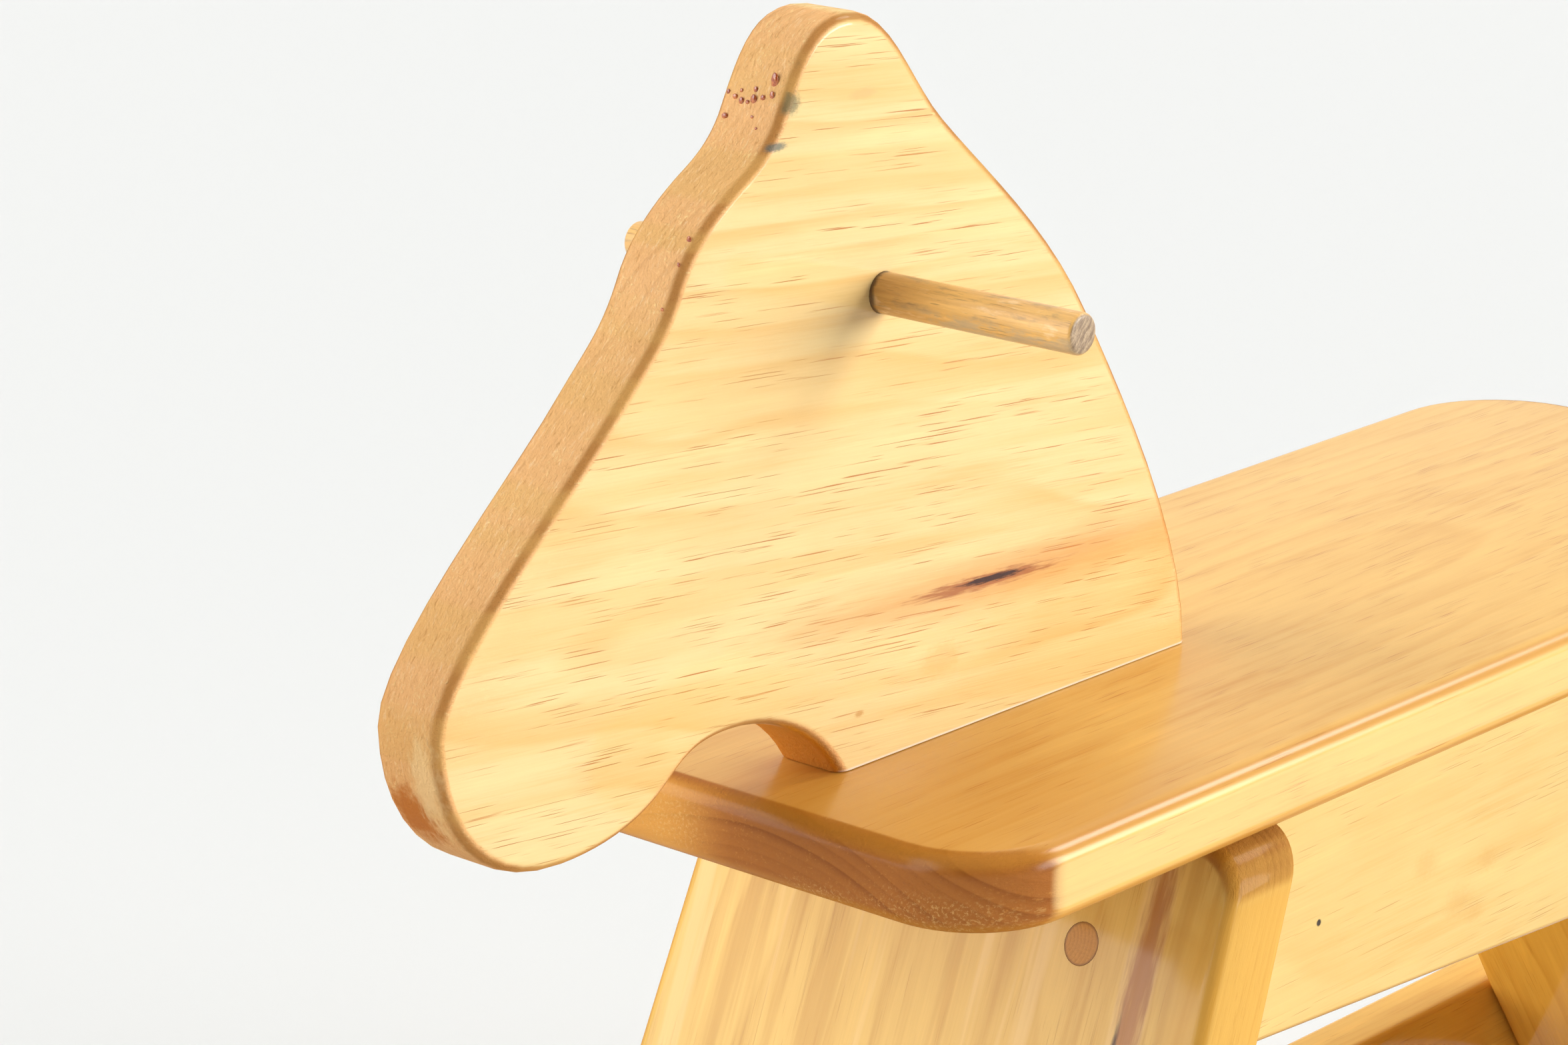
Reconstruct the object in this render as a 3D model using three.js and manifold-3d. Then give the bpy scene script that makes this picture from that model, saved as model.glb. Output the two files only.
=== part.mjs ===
// Child's rocking horse of solid pine boards. Millimetres, +Z up, the horse faces -Y and its left side is +X.
// The origin lies on the floor, under the middle of the whole horse.
import * as THREE from 'three';
import * as BufferGeometryUtils from 'three/addons/utils/BufferGeometryUtils.js';
import Module from 'manifold-3d';

const wasm = await Module();
wasm.setup();

// Clearances
const GAP = 0.3;                    // between faces that are glued or screwed together
const PIN_CLEARANCE = 0.15;         // all round a pin, dowel or screw in its bore

// Seat board. Stations are distances back from the middle of its front edge.
const SEAT_HEIGHT = 402;            // floor to the top of the seat
const SEAT_LENGTH = 598;
const SEAT_WIDTH = 225;
const SEAT_THICKNESS = 28;
const SEAT_FRONT_RADIUS = 38;
const SEAT_REAR_RADIUS = 50;
const SEAT_BOW = 3;                 // how far the end edges bulge between their corners

// Head board, standing on the seat. Its outline is drawn from the throat, where it leaves the seat.
const HEAD_THICKNESS = 28;
const HEAD_STATION = 40;
const HEAD_BASE = 190;              // length that stands on the seat
const HEAD_CURVES = [               // cubic curves: two handles and an end, each as back, up
  [[-11, 18], [-32, 28.5], [-52, 28.5]],      // throat notch
  [[-67, 28.5], [-72, 26], [-83, 17]],        // jaw
  [[-96, 7], [-114, 4], [-130, 4]],           // chin
  [[-165, 4], [-185, 28], [-185, 59]],        // muzzle
  [[-185, 82], [-126, 125], [-103, 149]],     // nose
  [[-90, 162], [-84, 166], [-77, 180]],       // brow
  [[-71, 194], [-57, 204], [-47, 210]],       // forehead
  [[-40, 214], [-34, 218], [-29, 226]],       // foot of the ear
  [[-20, 243], [-14, 257], [5, 257]],         // ear
  [[28, 257], [37, 231], [54, 215]],          // back of the ear
  [[76, 194], [110, 169], [131, 135]],        // crest
  [[150, 104], [HEAD_BASE, 43], [HEAD_BASE, 0]],   // neck
];

// Handle, a dowel glued through the head
const HANDLE_DIAMETER = 14;
const HANDLE_LENGTH = 196;
const HANDLE_BACK = 22;             // behind the throat
const HANDLE_RISE = 162;            // above the seat
const HANDLE_EDGE = 2;              // rounding of its ends

// Leg panels: wide boards that lean away from each other and grow wider towards the feet
const LEG_THICKNESS = 35;
const LEG_TOP_WIDTH = 231;
const LEG_FOOT_WIDTH = 260;
const LEG_CORNER_RADIUS = 18;
const LEG_FOOT_RADIUS = 6;
const FRONT_LEG_STATION = 130;      // front face at the underside of the seat
const FRONT_LEG_SPLAY = 22.7;       // degrees from upright
const REAR_LEG_STATION = 468;
const REAR_LEG_SPLAY = 34;
const FOOT_HEIGHT = 50;             // floor to the level-cut end of each panel

// Side rails under the seat, between the leg panels
const RAIL_THICKNESS = 28;
const RAIL_SPACING = 121;           // middle to middle
const RAIL_FRONT_DEPTH = 98;
const RAIL_REAR_DEPTH = 124;

// Rockers, on edge outside the feet
const ROCKER_THICKNESS = 28;
const ROCKER_LENGTH = 920;
const ROCKER_DEPTH = 100;           // at the middle
const ROCKER_RADIUS = 1600;         // of the curved lower edge
const ROCKER_TIP_RADIUS = 13;
const ROCKER_STATION = 299;         // its middle, under the centre of gravity

// Joint pins: through dowels of the handle's stock. Their ends show flush in the faces.
const PIN_DIAMETER = 14;
const RAIL_PIN_DROP = 42;           // below the underside of the seat
const RAIL_PIN_GRIP = 45;           // length inside the rail
const ROCKER_PIN_GRIP = 45;         // length inside the leg panel
const ROCKER_PIN_HEIGHTS = [63, 87];

// Hidden dowels
const DOWEL_DIAMETER = 10;
const DOWEL_GRIP = 18;              // length in each of the two boards
const HEAD_DOWEL_BACKS = [24, 164]; // behind the throat
const RAIL_DOWEL_COUNT = 3;
const RAIL_DOWEL_INSET = 60;        // first and last dowel from the rail's ends

// Screws up through the seat into the head
const SCREW_DIAMETER = 5;
const SCREW_HEAD_DIAMETER = 10;
const SCREW_HEAD_DEPTH = 4;
const SCREW_LENGTH = 70;
const SCREW_TIP = 6;
const HEAD_SCREW_BACKS = [54, 94, 134];

// Faces counted round curves
const CURVE_STEPS = 10;
const ROUND_SIDES = 24;

// Worked out from the above
const seatUnder = SEAT_HEIGHT - SEAT_THICKNESS;
const boardTop = seatUnder - GAP;   // top of the rails and leg panels
const rad = THREE.MathUtils.degToRad;
const legs = {
  front: {
    station: FRONT_LEG_STATION,
    slope: Math.tan(rad(FRONT_LEG_SPLAY)),            // back per millimetre up
    through: LEG_THICKNESS / Math.cos(rad(FRONT_LEG_SPLAY)),
  },
  rear: {
    station: REAR_LEG_STATION,
    slope: -Math.tan(rad(REAR_LEG_SPLAY)),
    through: LEG_THICKNESS / Math.cos(rad(REAR_LEG_SPLAY)),
  },
};
const legFace = (leg, z) => leg.station + (z - seatUnder) * leg.slope;   // station of its front face
const legBack = (leg, z) => legFace(leg, z) + leg.through;
const rockerFront = ROCKER_STATION - ROCKER_LENGTH / 2;
const rockerRear = ROCKER_STATION + ROCKER_LENGTH / 2;
const muzzle = HEAD_STATION + Math.min(...HEAD_CURVES.map(([, , end]) => end[0]));
const horseFront = Math.min(0, muzzle, rockerFront);
const horseRear = Math.max(SEAT_LENGTH, rockerRear);

const horse = new THREE.Group();
horse.position.y = -(horseFront + horseRear) / 2;

// Materials
const wood = (color, roughness) => new THREE.MeshStandardMaterial({ color, roughness, metalness: 0 });
const pale = () => wood(0xf2cc86, 0.35);
const amber = () => wood(0xe0a75e, 0.3);
const worn = () => wood(0xb58f5c, 0.5);
const steel = () => new THREE.MeshStandardMaterial({ color: 0xa9a9a6, roughness: 0.4, metalness: 1 });

// Ways to stand an extruded outline up
const ALONG_X = new THREE.Matrix4().makeBasis(
  new THREE.Vector3(0, 1, 0), new THREE.Vector3(0, 0, 1), new THREE.Vector3(1, 0, 0));
const ALONG_Y = new THREE.Matrix4().makeBasis(
  new THREE.Vector3(1, 0, 0), new THREE.Vector3(0, 0, 1), new THREE.Vector3(0, -1, 0));
const lean = (slope) => new THREE.Matrix4().makeShear(0, 0, 0, 0, 0, slope);

function slab(shape, thickness) {
  const geometry = new THREE.ExtrudeGeometry(shape,
    { depth: thickness, bevelEnabled: false, curveSegments: CURVE_STEPS });
  return geometry.translate(0, 0, -thickness / 2);
}

// Closed outline through corners [x, y, radius]
function roundedShape(corners) {
  const shape = new THREE.Shape();
  corners.forEach(([x, y, radius], i) => {
    const corner = new THREE.Vector2(x, y);
    const before = new THREE.Vector2(...corners.at(i - 1)).sub(corner);
    const after = new THREE.Vector2(...corners[(i + 1) % corners.length]).sub(corner);
    const half = Math.acos(before.dot(after) / before.length() / after.length()) / 2;
    const reach = radius / Math.tan(half);
    const start = before.setLength(reach).add(corner);
    const end = after.setLength(reach).add(corner);
    if (i === 0) shape.moveTo(start.x, start.y);
    else shape.lineTo(start.x, start.y);
    if (radius > 0) {
      const centre = start.clone().add(end).sub(corner.clone().multiplyScalar(2));
      centre.setLength(radius / Math.sin(half)).add(corner);
      const from = Math.atan2(start.y - centre.y, start.x - centre.x);
      const to = Math.atan2(end.y - centre.y, end.x - centre.x);
      shape.absarc(centre.x, centre.y, radius, from, to, false);
    }
  });
  shape.closePath();
  return shape;
}

// A round bar along Z, centred, with its end edges rounded
function roundBar(radius, length, edge = 0) {
  const profile = [new THREE.Vector2(0, -length / 2)];
  const steps = edge > 0 ? 4 : 0;
  for (const end of [-1, 1]) {
    for (let i = 0; i <= steps; i++) {
      const turn = (end < 0 ? i : steps - i) / Math.max(steps, 1) * Math.PI / 2;
      profile.push(new THREE.Vector2(
        radius - edge * (1 - Math.sin(turn)),
        end * (length / 2 - edge * (1 - Math.cos(turn)))));
    }
  }
  profile.push(new THREE.Vector2(0, length / 2));
  return new THREE.LatheGeometry(profile, ROUND_SIDES).rotateX(Math.PI / 2);
}

// Solids for cutting
function solid(geometry) {
  const bare = geometry.clone();
  bare.deleteAttribute('normal');
  bare.deleteAttribute('uv');
  const merged = BufferGeometryUtils.mergeVertices(bare, 1e-3);
  return new wasm.Manifold(new wasm.Mesh({
    numProp: 3,
    vertProperties: new Float32Array(merged.attributes.position.array),
    triVerts: new Uint32Array(merged.index.array),
  }));
}

function cut(geometry, tools) {
  let body = solid(geometry);
  for (const tool of tools) body = body.subtract(solid(tool));
  const mesh = body.getMesh();
  const result = new THREE.BufferGeometry();
  result.setAttribute('position', new THREE.BufferAttribute(new Float32Array(mesh.vertProperties), 3));
  result.setIndex([...mesh.triVerts]);
  const faceted = result.toNonIndexed();
  faceted.computeVertexNormals();
  return faceted;
}

function add(name, geometry, material) {
  const mesh = new THREE.Mesh(geometry, material);
  mesh.name = name;
  horse.add(mesh);
}

// The two sides, left first
const SIDES = [['left', 1], ['right', -1]];

// Rail ends at a height, with their gap to the leg panels
const railFront = (z) => legBack(legs.front, z) + GAP;
const railRear = (z) => legFace(legs.rear, z) - GAP;
const railPinHeight = seatUnder - RAIL_PIN_DROP;

// A pin along Y, its ends parallel to the faces of a leaning panel
function leaningPin(leg, radius, from, to, x) {
  return roundBar(radius, to - from)
    .rotateX(Math.PI / 2)
    .applyMatrix4(lean(leg.slope))
    .translate(x, (from + to) / 2, railPinHeight);
}

const railPins = [];
for (const [sideName, side] of SIDES) {
  const x = side * RAIL_SPACING / 2;
  for (const [legName, leg] of Object.entries(legs)) {
    const face = legFace(leg, railPinHeight);
    const back = legBack(leg, railPinHeight);
    const [from, to] = leg === legs.front ? [face, back + RAIL_PIN_GRIP] : [face - RAIL_PIN_GRIP, back];
    railPins.push({
      name: `rail_pin_${legName}_${sideName}`,
      geometry: leaningPin(leg, PIN_DIAMETER / 2, from, to, x),
      bore: leaningPin(leg, PIN_DIAMETER / 2 + PIN_CLEARANCE, from - GAP, to + GAP, x),
      leg,
      side,
    });
  }
}

// Pins along X, through a rocker into the edge of a leg panel
const rockerInside = LEG_FOOT_WIDTH / 2 + GAP;
const rockerOutside = rockerInside + ROCKER_THICKNESS;
const rockerPins = [];
for (const [sideName, side] of SIDES) {
  for (const [legName, leg] of Object.entries(legs)) {
    ROCKER_PIN_HEIGHTS.forEach((z, i) => {
      const length = ROCKER_THICKNESS + GAP + ROCKER_PIN_GRIP;
      const y = (legFace(leg, z) + legBack(leg, z)) / 2;
      const place = (bar, out) => bar.rotateY(Math.PI / 2)
        .translate(side * (rockerOutside + out - length / 2), y, z);
      rockerPins.push({
        name: `rocker_pin_${legName}_${sideName}_${i === 0 ? 'lower' : 'upper'}`,
        geometry: place(roundBar(PIN_DIAMETER / 2, length), 0),
        bore: place(roundBar(PIN_DIAMETER / 2 + PIN_CLEARANCE, length + 2 * GAP), 0),
        leg,
        side,
      });
    });
  }
}

// Upright dowels, half in each of two boards that meet at a height
function dowelSet(names, places, seam) {
  return places.map(([x, y], i) => {
    const upright = (radius, length) => roundBar(radius, length).translate(x, y, seam);
    return {
      name: names(i),
      geometry: upright(DOWEL_DIAMETER / 2, 2 * DOWEL_GRIP),
      bore: upright(DOWEL_DIAMETER / 2 + PIN_CLEARANCE, 2 * (DOWEL_GRIP + GAP)),
    };
  });
}

const headDowels = dowelSet(
  (i) => `head_dowel_${['front', 'rear'][i]}`,
  HEAD_DOWEL_BACKS.map((back) => [0, HEAD_STATION + back]),
  SEAT_HEIGHT + GAP / 2);

const seatDowels = Object.fromEntries(SIDES.map(([sideName, side]) => {
  const first = railFront(boardTop) + RAIL_DOWEL_INSET;
  const last = railRear(boardTop) - RAIL_DOWEL_INSET;
  const places = Array.from({ length: RAIL_DOWEL_COUNT }, (_, i) =>
    [side * RAIL_SPACING / 2, first + (last - first) * i / (RAIL_DOWEL_COUNT - 1)]);
  return [sideName, dowelSet((i) => `seat_dowel_${sideName}_${i + 1}`, places, seatUnder - GAP / 2)];
}));

// Countersunk wood screw pointing up, its head flush with the underside of the seat
function woodScrew(spare) {
  const shank = SCREW_DIAMETER / 2 + spare;
  const head = SCREW_HEAD_DIAMETER / 2 + spare;
  const profile = [
    [0, -spare], [head, -spare], [head, spare], [shank, SCREW_HEAD_DEPTH + spare],
    [shank, SCREW_LENGTH - SCREW_TIP + spare], [0, SCREW_LENGTH + spare],
  ].map(([r, z]) => new THREE.Vector2(r, z));
  if (spare === 0) profile.splice(2, 1);
  return new THREE.LatheGeometry(profile, ROUND_SIDES).rotateX(Math.PI / 2);
}

const headScrews = HEAD_SCREW_BACKS.map((back, i) => {
  const place = (geometry) => geometry.translate(0, HEAD_STATION + back, seatUnder);
  return {
    name: `head_screw_${i + 1}`,
    geometry: place(woodScrew(0)),
    bore: place(woodScrew(PIN_CLEARANCE)),
  };
});

const bores = (pieces) => pieces.map((piece) => piece.bore);

// Seat board
function seatBoard() {
  const side = SEAT_WIDTH / 2;
  const shape = new THREE.Shape();
  shape.moveTo(-side + SEAT_FRONT_RADIUS, SEAT_BOW);
  shape.quadraticCurveTo(0, -SEAT_BOW, side - SEAT_FRONT_RADIUS, SEAT_BOW);
  shape.absarc(side - SEAT_FRONT_RADIUS, SEAT_BOW + SEAT_FRONT_RADIUS, SEAT_FRONT_RADIUS,
    -Math.PI / 2, 0, false);
  shape.absarc(side - SEAT_REAR_RADIUS, SEAT_LENGTH - SEAT_BOW - SEAT_REAR_RADIUS, SEAT_REAR_RADIUS,
    0, Math.PI / 2, false);
  shape.quadraticCurveTo(0, SEAT_LENGTH + SEAT_BOW, -side + SEAT_REAR_RADIUS, SEAT_LENGTH - SEAT_BOW);
  shape.absarc(-side + SEAT_REAR_RADIUS, SEAT_LENGTH - SEAT_BOW - SEAT_REAR_RADIUS, SEAT_REAR_RADIUS,
    Math.PI / 2, Math.PI, false);
  shape.absarc(-side + SEAT_FRONT_RADIUS, SEAT_BOW + SEAT_FRONT_RADIUS, SEAT_FRONT_RADIUS,
    Math.PI, 3 * Math.PI / 2, false);
  const board = slab(shape, SEAT_THICKNESS).translate(0, 0, seatUnder + SEAT_THICKNESS / 2);
  return cut(board, bores([...headDowels, ...headScrews, ...seatDowels.left, ...seatDowels.right]));
}
add('seat_board', seatBoard(), amber());

// Head board
const handleBar = (radius, length, edge) => roundBar(radius, length, edge)
  .rotateY(Math.PI / 2)
  .translate(0, HEAD_STATION + HANDLE_BACK, SEAT_HEIGHT + HANDLE_RISE);

function headBoard() {
  const shape = new THREE.Shape();
  shape.moveTo(0, 0);
  for (const [first, second, end] of HEAD_CURVES) shape.bezierCurveTo(...first, ...second, ...end);
  shape.closePath();
  const board = slab(shape, HEAD_THICKNESS)
    .applyMatrix4(ALONG_X)
    .translate(0, HEAD_STATION, SEAT_HEIGHT + GAP);
  const handleBore = handleBar(HANDLE_DIAMETER / 2 + PIN_CLEARANCE, HEAD_THICKNESS + 2 * GAP, 0);
  return cut(board, [handleBore, ...bores([...headDowels, ...headScrews])]);
}
add('head_board', headBoard(), pale());
add('handle_dowel', handleBar(HANDLE_DIAMETER / 2, HANDLE_LENGTH, HANDLE_EDGE), worn());

// Leg panels, both ends cut level
function legPanel(leg) {
  const top = LEG_TOP_WIDTH / 2;
  const foot = LEG_FOOT_WIDTH / 2;
  const shape = roundedShape([
    [-foot, FOOT_HEIGHT, LEG_FOOT_RADIUS],
    [foot, FOOT_HEIGHT, LEG_FOOT_RADIUS],
    [foot, ROCKER_DEPTH, 0],
    [top, boardTop, LEG_CORNER_RADIUS],
    [-top, boardTop, LEG_CORNER_RADIUS],
    [-foot, ROCKER_DEPTH, 0],
  ].map(([x, z, radius]) => [x, z - seatUnder, radius]));
  const panel = slab(shape, leg.through)
    .applyMatrix4(ALONG_Y)
    .applyMatrix4(lean(leg.slope))
    .translate(0, leg.station + leg.through / 2, seatUnder);
  return cut(panel, bores([...railPins, ...rockerPins].filter((pin) => pin.leg === leg)));
}
add('front_leg_panel', legPanel(legs.front), pale());
add('rear_leg_panel', legPanel(legs.rear), pale());

// Side rails
function sideRail(sideName, side) {
  const frontBottom = seatUnder - RAIL_FRONT_DEPTH;
  const rearBottom = seatUnder - RAIL_REAR_DEPTH;
  const shape = new THREE.Shape([
    [railFront(frontBottom), frontBottom],
    [railRear(rearBottom), rearBottom],
    [railRear(boardTop), boardTop],
    [railFront(boardTop), boardTop],
  ].map(([y, z]) => new THREE.Vector2(y, z)));
  const board = slab(shape, RAIL_THICKNESS)
    .applyMatrix4(ALONG_X)
    .translate(side * RAIL_SPACING / 2, 0, 0);
  return cut(board, bores([...railPins.filter((pin) => pin.side === side), ...seatDowels[sideName]]));
}
for (const [sideName, side] of SIDES) add(`side_rail_${sideName}`, sideRail(sideName, side), pale());

// Rockers: a straight upper edge, a curved lower edge and rounded tips
function rocker(side) {
  const half = ROCKER_LENGTH / 2;
  const sweep = Math.asin((half - ROCKER_TIP_RADIUS) / ROCKER_RADIUS);
  const facets = 2 * CURVE_STEPS - 1;                // an odd number, so it stands on a flat one
  const rise = (turn) => ROCKER_RADIUS * (Math.cos(sweep / facets) - Math.cos(turn));
  const shape = new THREE.Shape();
  for (let i = 0; i <= facets; i++) {
    const turn = sweep * (2 * i / facets - 1);
    const point = [ROCKER_RADIUS * Math.sin(turn), rise(turn)];
    if (i === 0) shape.moveTo(...point);
    else shape.lineTo(...point);
  }
  const tip = rise(sweep);
  const reach = half - ROCKER_TIP_RADIUS;
  shape.quadraticCurveTo(half, tip + 2, half, tip + ROCKER_TIP_RADIUS);
  shape.lineTo(half, ROCKER_DEPTH - ROCKER_TIP_RADIUS);
  shape.absarc(reach, ROCKER_DEPTH - ROCKER_TIP_RADIUS, ROCKER_TIP_RADIUS, 0, Math.PI / 2, false);
  shape.absarc(-reach, ROCKER_DEPTH - ROCKER_TIP_RADIUS, ROCKER_TIP_RADIUS, Math.PI / 2, Math.PI, false);
  shape.lineTo(-half, tip + ROCKER_TIP_RADIUS);
  shape.quadraticCurveTo(-half, tip + 2, -reach, tip);
  const board = slab(shape, ROCKER_THICKNESS)
    .applyMatrix4(ALONG_X)
    .translate(side * (rockerInside + ROCKER_THICKNESS / 2), ROCKER_STATION, 0);
  return cut(board, bores(rockerPins.filter((pin) => pin.side === side)));
}
for (const [sideName, side] of SIDES) add(`rocker_${sideName}`, rocker(side), pale());

// Pins, dowels and screws
for (const { name, geometry } of [...railPins, ...rockerPins]) add(name, geometry, worn());
for (const { name, geometry } of [...headDowels, ...seatDowels.left, ...seatDowels.right]) {
  add(name, geometry, pale());
}
for (const { name, geometry } of headScrews) add(name, geometry, steel());

export default horse;
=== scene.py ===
import math

import bmesh
import bpy
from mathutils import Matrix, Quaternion, Vector


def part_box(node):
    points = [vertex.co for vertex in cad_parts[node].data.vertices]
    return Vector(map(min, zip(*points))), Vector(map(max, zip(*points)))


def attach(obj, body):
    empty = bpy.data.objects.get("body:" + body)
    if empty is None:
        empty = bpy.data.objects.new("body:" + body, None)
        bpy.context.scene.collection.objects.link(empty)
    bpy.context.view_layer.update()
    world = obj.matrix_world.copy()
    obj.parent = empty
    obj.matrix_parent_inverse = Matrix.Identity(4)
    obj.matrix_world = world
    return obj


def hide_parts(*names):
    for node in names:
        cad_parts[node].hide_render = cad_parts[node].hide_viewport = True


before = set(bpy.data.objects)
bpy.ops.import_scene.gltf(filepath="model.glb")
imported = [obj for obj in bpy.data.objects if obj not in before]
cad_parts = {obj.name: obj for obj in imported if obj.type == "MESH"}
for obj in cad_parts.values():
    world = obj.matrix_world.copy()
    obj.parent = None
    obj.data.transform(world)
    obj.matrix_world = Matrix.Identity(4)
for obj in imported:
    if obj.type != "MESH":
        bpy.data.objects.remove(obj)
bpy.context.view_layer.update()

bpy.ops.object.select_all(action="DESELECT")

# Camera. A long lens above the height of the ears, 42 degrees round from the nose
# towards the horse's left, looking down 17 degrees.
turn, drop, roll = math.radians(42.22), math.radians(16.76), math.radians(-0.29)
look = Vector((-math.sin(turn) * math.cos(drop), math.cos(turn) * math.cos(drop), -math.sin(drop)))
bpy.ops.object.camera_add(location=(1.013, -1.387, 0.944))
camera = bpy.context.object
camera.rotation_mode = "QUATERNION"
camera.rotation_quaternion = look.to_track_quat("-Z", "Y") @ Quaternion((0, 0, 1), roll)
camera.data.sensor_width = 36
camera.data.lens = 109.8
bpy.context.scene.camera = camera

# Studio. A wide white floor and a white surround, dim behind the camera and with a small
# bright pane high behind the tail. A soft key light comes from the horse's left and behind,
# a weaker fill from the right and ahead, and a little light from overhead.
bpy.context.scene.view_settings.view_transform = "Standard"
world = bpy.data.worlds.new("surround")
bpy.context.scene.world = world
world.use_nodes = True
surround = world.node_tree.nodes
toward = surround.new("ShaderNodeTexCoord")
to_camera = surround.new("ShaderNodeVectorMath")
to_camera.operation = "DOT_PRODUCT"
to_camera.inputs[1].default_value = (0.66, -0.73, 0.18)
dim = surround.new("ShaderNodeMapRange")
dim.interpolation_type = "SMOOTHSTEP"
for socket, value in enumerate((-0.85, 0.90, 0.95, 0.05), start=1):
    dim.inputs[socket].default_value = value
to_pane = surround.new("ShaderNodeVectorMath")
to_pane.operation = "DOT_PRODUCT"
to_pane.inputs[1].default_value = (0.285, 0.70, 0.655)
pane = surround.new("ShaderNodeMapRange")
pane.interpolation_type = "SMOOTHSTEP"
for socket, value in enumerate((0.984, 0.993, 0.0, 12.0), start=1):
    pane.inputs[socket].default_value = value
whole = surround.new("ShaderNodeMath")
for output, socket in (
        (toward.outputs["Generated"], to_camera.inputs[0]), (toward.outputs["Generated"], to_pane.inputs[0]),
        (to_camera.outputs["Value"], dim.inputs["Value"]), (to_pane.outputs["Value"], pane.inputs["Value"]),
        (dim.outputs["Result"], whole.inputs[0]), (pane.outputs["Result"], whole.inputs[1]),
        (whole.outputs["Value"], surround["Background"].inputs["Strength"])):
    world.node_tree.links.new(output, socket)
surround["Background"].inputs["Color"].default_value = (1.0, 1.0, 0.99, 1)

for name, strength, spread, travel, tint in (
        ("key", 4.25, 38, (-0.82, -0.50, -0.09), (1.0, 0.985, 0.95)),
        ("top", 0.45, 80, (0.0, 0.1, -1.0), (1.0, 1.0, 1.0)),
        ("fill", 3.0, 60, (0.45, 0.85, -0.40), (0.98, 0.99, 1.0))):
    bpy.ops.object.light_add(type="SUN", location=(0, 0, 3))
    lamp = bpy.context.object
    lamp.name = name
    lamp.data.energy = strength
    lamp.data.angle = math.radians(spread)
    lamp.data.color = tint
    lamp.rotation_mode = "QUATERNION"
    lamp.rotation_quaternion = Vector(travel).to_track_quat("-Z", "Y")

bpy.ops.mesh.primitive_plane_add(size=40, location=(0, 0, 0))
floor = bpy.context.object
floor.name = "floor"
paint = bpy.data.materials.new("floor_paint")
paint.use_nodes = True
matt_white = paint.node_tree.nodes["Principled BSDF"]
matt_white.inputs["Base Color"].default_value = (0.69, 0.695, 0.687, 1)
matt_white.inputs["Roughness"].default_value = 0.8
floor.data.materials.append(paint)


# Head board. Head and neck are sawn from one glued pine board with the grain running
# down a little towards the tail. It stands on the seat, held by dowels and by screws
# from below, and its arrises are rounded with a router before varnishing.
def select(kind, test):
    """In edit mode, selects the vertices, edges or faces that the test is true of."""
    bpy.ops.mesh.select_mode(type=kind)
    bpy.ops.mesh.select_all(action="DESELECT")
    mesh = bmesh.from_edit_mesh(bpy.context.object.data)
    for item in {"VERT": mesh.verts, "EDGE": mesh.edges, "FACE": mesh.faces}[kind]:
        if test(item):
            item.select_set(True)
    mesh.select_flush_mode()
    bmesh.update_edit_mesh(bpy.context.object.data)


def centre(item):
    """The mean place of an edge's or a face's vertices."""
    return sum((v.co for v in item.verts), Vector()) / len(item.verts)


def begin(name, piece):
    """Names a new piece, makes it the only selected one and opens it in edit mode."""
    bpy.ops.object.select_all(action="DESELECT")
    piece.name = piece.data.name = name
    piece.select_set(True)
    bpy.context.view_layer.objects.active = piece
    bpy.ops.object.mode_set(mode="EDIT")
    return piece


def sawn_copy(name, node):
    """Opens a copy of a CAD node, with its loose triangles merged, in edit mode."""
    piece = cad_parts[node].copy()
    piece.data = piece.data.copy()
    piece.data.materials.clear()
    piece.parent = None
    bpy.context.collection.objects.link(piece)
    begin(name, piece)
    bpy.ops.mesh.select_all(action="SELECT")
    bpy.ops.mesh.remove_doubles(threshold=1e-6)
    bpy.ops.mesh.customdata_custom_splitnormals_clear()
    return piece


def cut_bores(piece, nodes):
    """Drills the holes for pins, dowels and screws: each is the pin's own shape, a little larger."""
    ease = 1.02
    for node in nodes:
        drill = sawn_copy("drill", node)
        middle = sum(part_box(node), Vector()) / 2
        bpy.ops.transform.resize(value=(ease, ease, ease), center_override=middle)
        bpy.ops.object.mode_set(mode="OBJECT")
        bpy.context.view_layer.objects.active = piece
        bore = piece.modifiers.new("bore", "BOOLEAN")
        bore.operation = "DIFFERENCE"
        bore.solver = "EXACT"
        bore.object = drill
        bpy.ops.object.modifier_apply(modifier=bore.name)
        bpy.data.objects.remove(drill)


def finish_piece(piece, finish, nodes, smooth=35):
    """Closes edit mode, smooths the round faces, gives the finish, hangs the piece on the root body and hides
    the CAD nodes it replaces.
    """
    if bpy.context.mode != "OBJECT":
        bpy.ops.object.mode_set(mode="OBJECT")
    bpy.ops.object.select_all(action="DESELECT")
    piece.select_set(True)
    bpy.context.view_layer.objects.active = piece
    bpy.ops.object.transform_apply(location=True, rotation=True, scale=True)
    bpy.ops.object.shade_smooth_by_angle(angle=math.radians(smooth))
    piece.data.materials.append(finish.material)
    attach(piece, "root")
    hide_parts(*nodes)


class Wire:
    """A shader socket that can stand in an expression: each operator adds its Math node."""

    def __init__(self, finish, socket):
        self.finish = finish
        self.socket = socket

    def math(self, operation, *others):
        return self.finish.node("Math", {"operation": operation}, dict(enumerate((self, *others))))

    def __add__(self, other):
        return self.math("ADD", other)

    __radd__ = __add__

    def __sub__(self, other):
        return self.math("SUBTRACT", other)

    def __rsub__(self, other):
        return (self * -1) + other

    def __mul__(self, other):
        return self.math("MULTIPLY", other)

    __rmul__ = __mul__

    def __truediv__(self, other):
        return self.math("DIVIDE", other)

    def __pow__(self, other):
        return self.math("POWER", other)

    def rise(self, low, high):
        """Goes smoothly from 0 to 1 as the value goes from low to high."""
        return self.finish.node(
            "MapRange", {"interpolation_type": "SMOOTHSTEP"}, {"Value": self, 1: low, 2: high})


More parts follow.
